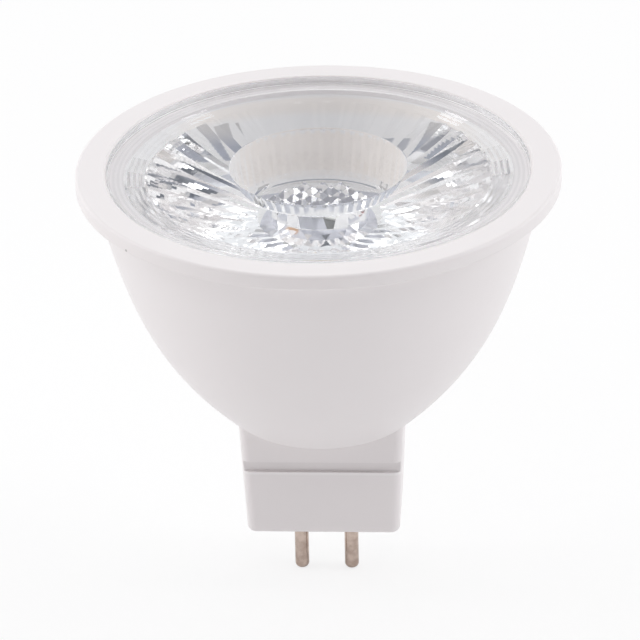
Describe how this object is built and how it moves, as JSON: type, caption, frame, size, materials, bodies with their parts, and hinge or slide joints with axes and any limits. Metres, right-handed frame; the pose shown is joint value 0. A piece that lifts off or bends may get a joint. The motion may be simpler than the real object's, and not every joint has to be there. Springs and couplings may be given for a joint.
{
  "type": "led spotlight bulb",
  "caption": "Reflector-shaped LED lamp with a flat clear lens, a white bowl housing and a tapered push-fit base with straight contact pins.",
  "frame": {"origin": "centre of the base block's flat underside, midway between the contact pins", "axes": "+Z along the lamp's axis and out through the lens, +X from the left pin to the right pin"},
  "size_m": [0.05, 0.05, 0.0477],
  "materials": {
    "housing_white": "satin white moulded plastic",
    "lens_clear": "clear polished moulded plastic",
    "pin_nickel": "nickel-plated, slightly warm",
    "sink_white": "pressed aluminium with a white coat",
    "pad_grey": "soft grey silicone",
    "board_white": "white solder mask",
    "ceramic_white": "white ceramic",
    "phosphor_yellow": "yellow phosphor gel",
    "screw_steel": "bright steel",
    "lead_red": "red insulation",
    "lead_black": "black insulation",
    "driver_green": "green circuit board",
    "package_black": "black moulded package",
    "can_sleeve": "bare aluminium can",
    "ferrite_grey": "dark grey ferrite",
    "copper": "enamelled copper wire",
    "ceramic_tan": "tan ceramic"
  },
  "bodies": {
    "root": {"housing": "housing_white", "lens": "lens_clear", "contact_pin_left": "pin_nickel", "contact_pin_right": "pin_nickel", "heat_sink": "sink_white", "thermal_pad": "pad_grey", "led_board": "board_white", "led_substrate": "ceramic_white", "led_dam": "ceramic_white", "led_phosphor": "phosphor_yellow", "board_screws": "screw_steel", "led_lead_positive": "lead_red", "led_lead_negative": "lead_black", "driver_board": "driver_green", "rectifier": "package_black", "bulk_capacitor": "can_sleeve", "inductor_core": "ferrite_grey", "inductor_winding": "copper", "driver_chip": "package_black", "freewheel_diode": "package_black", "output_capacitor": "ceramic_tan", "sense_resistors": "package_black"}
  },
  "joints": []
}
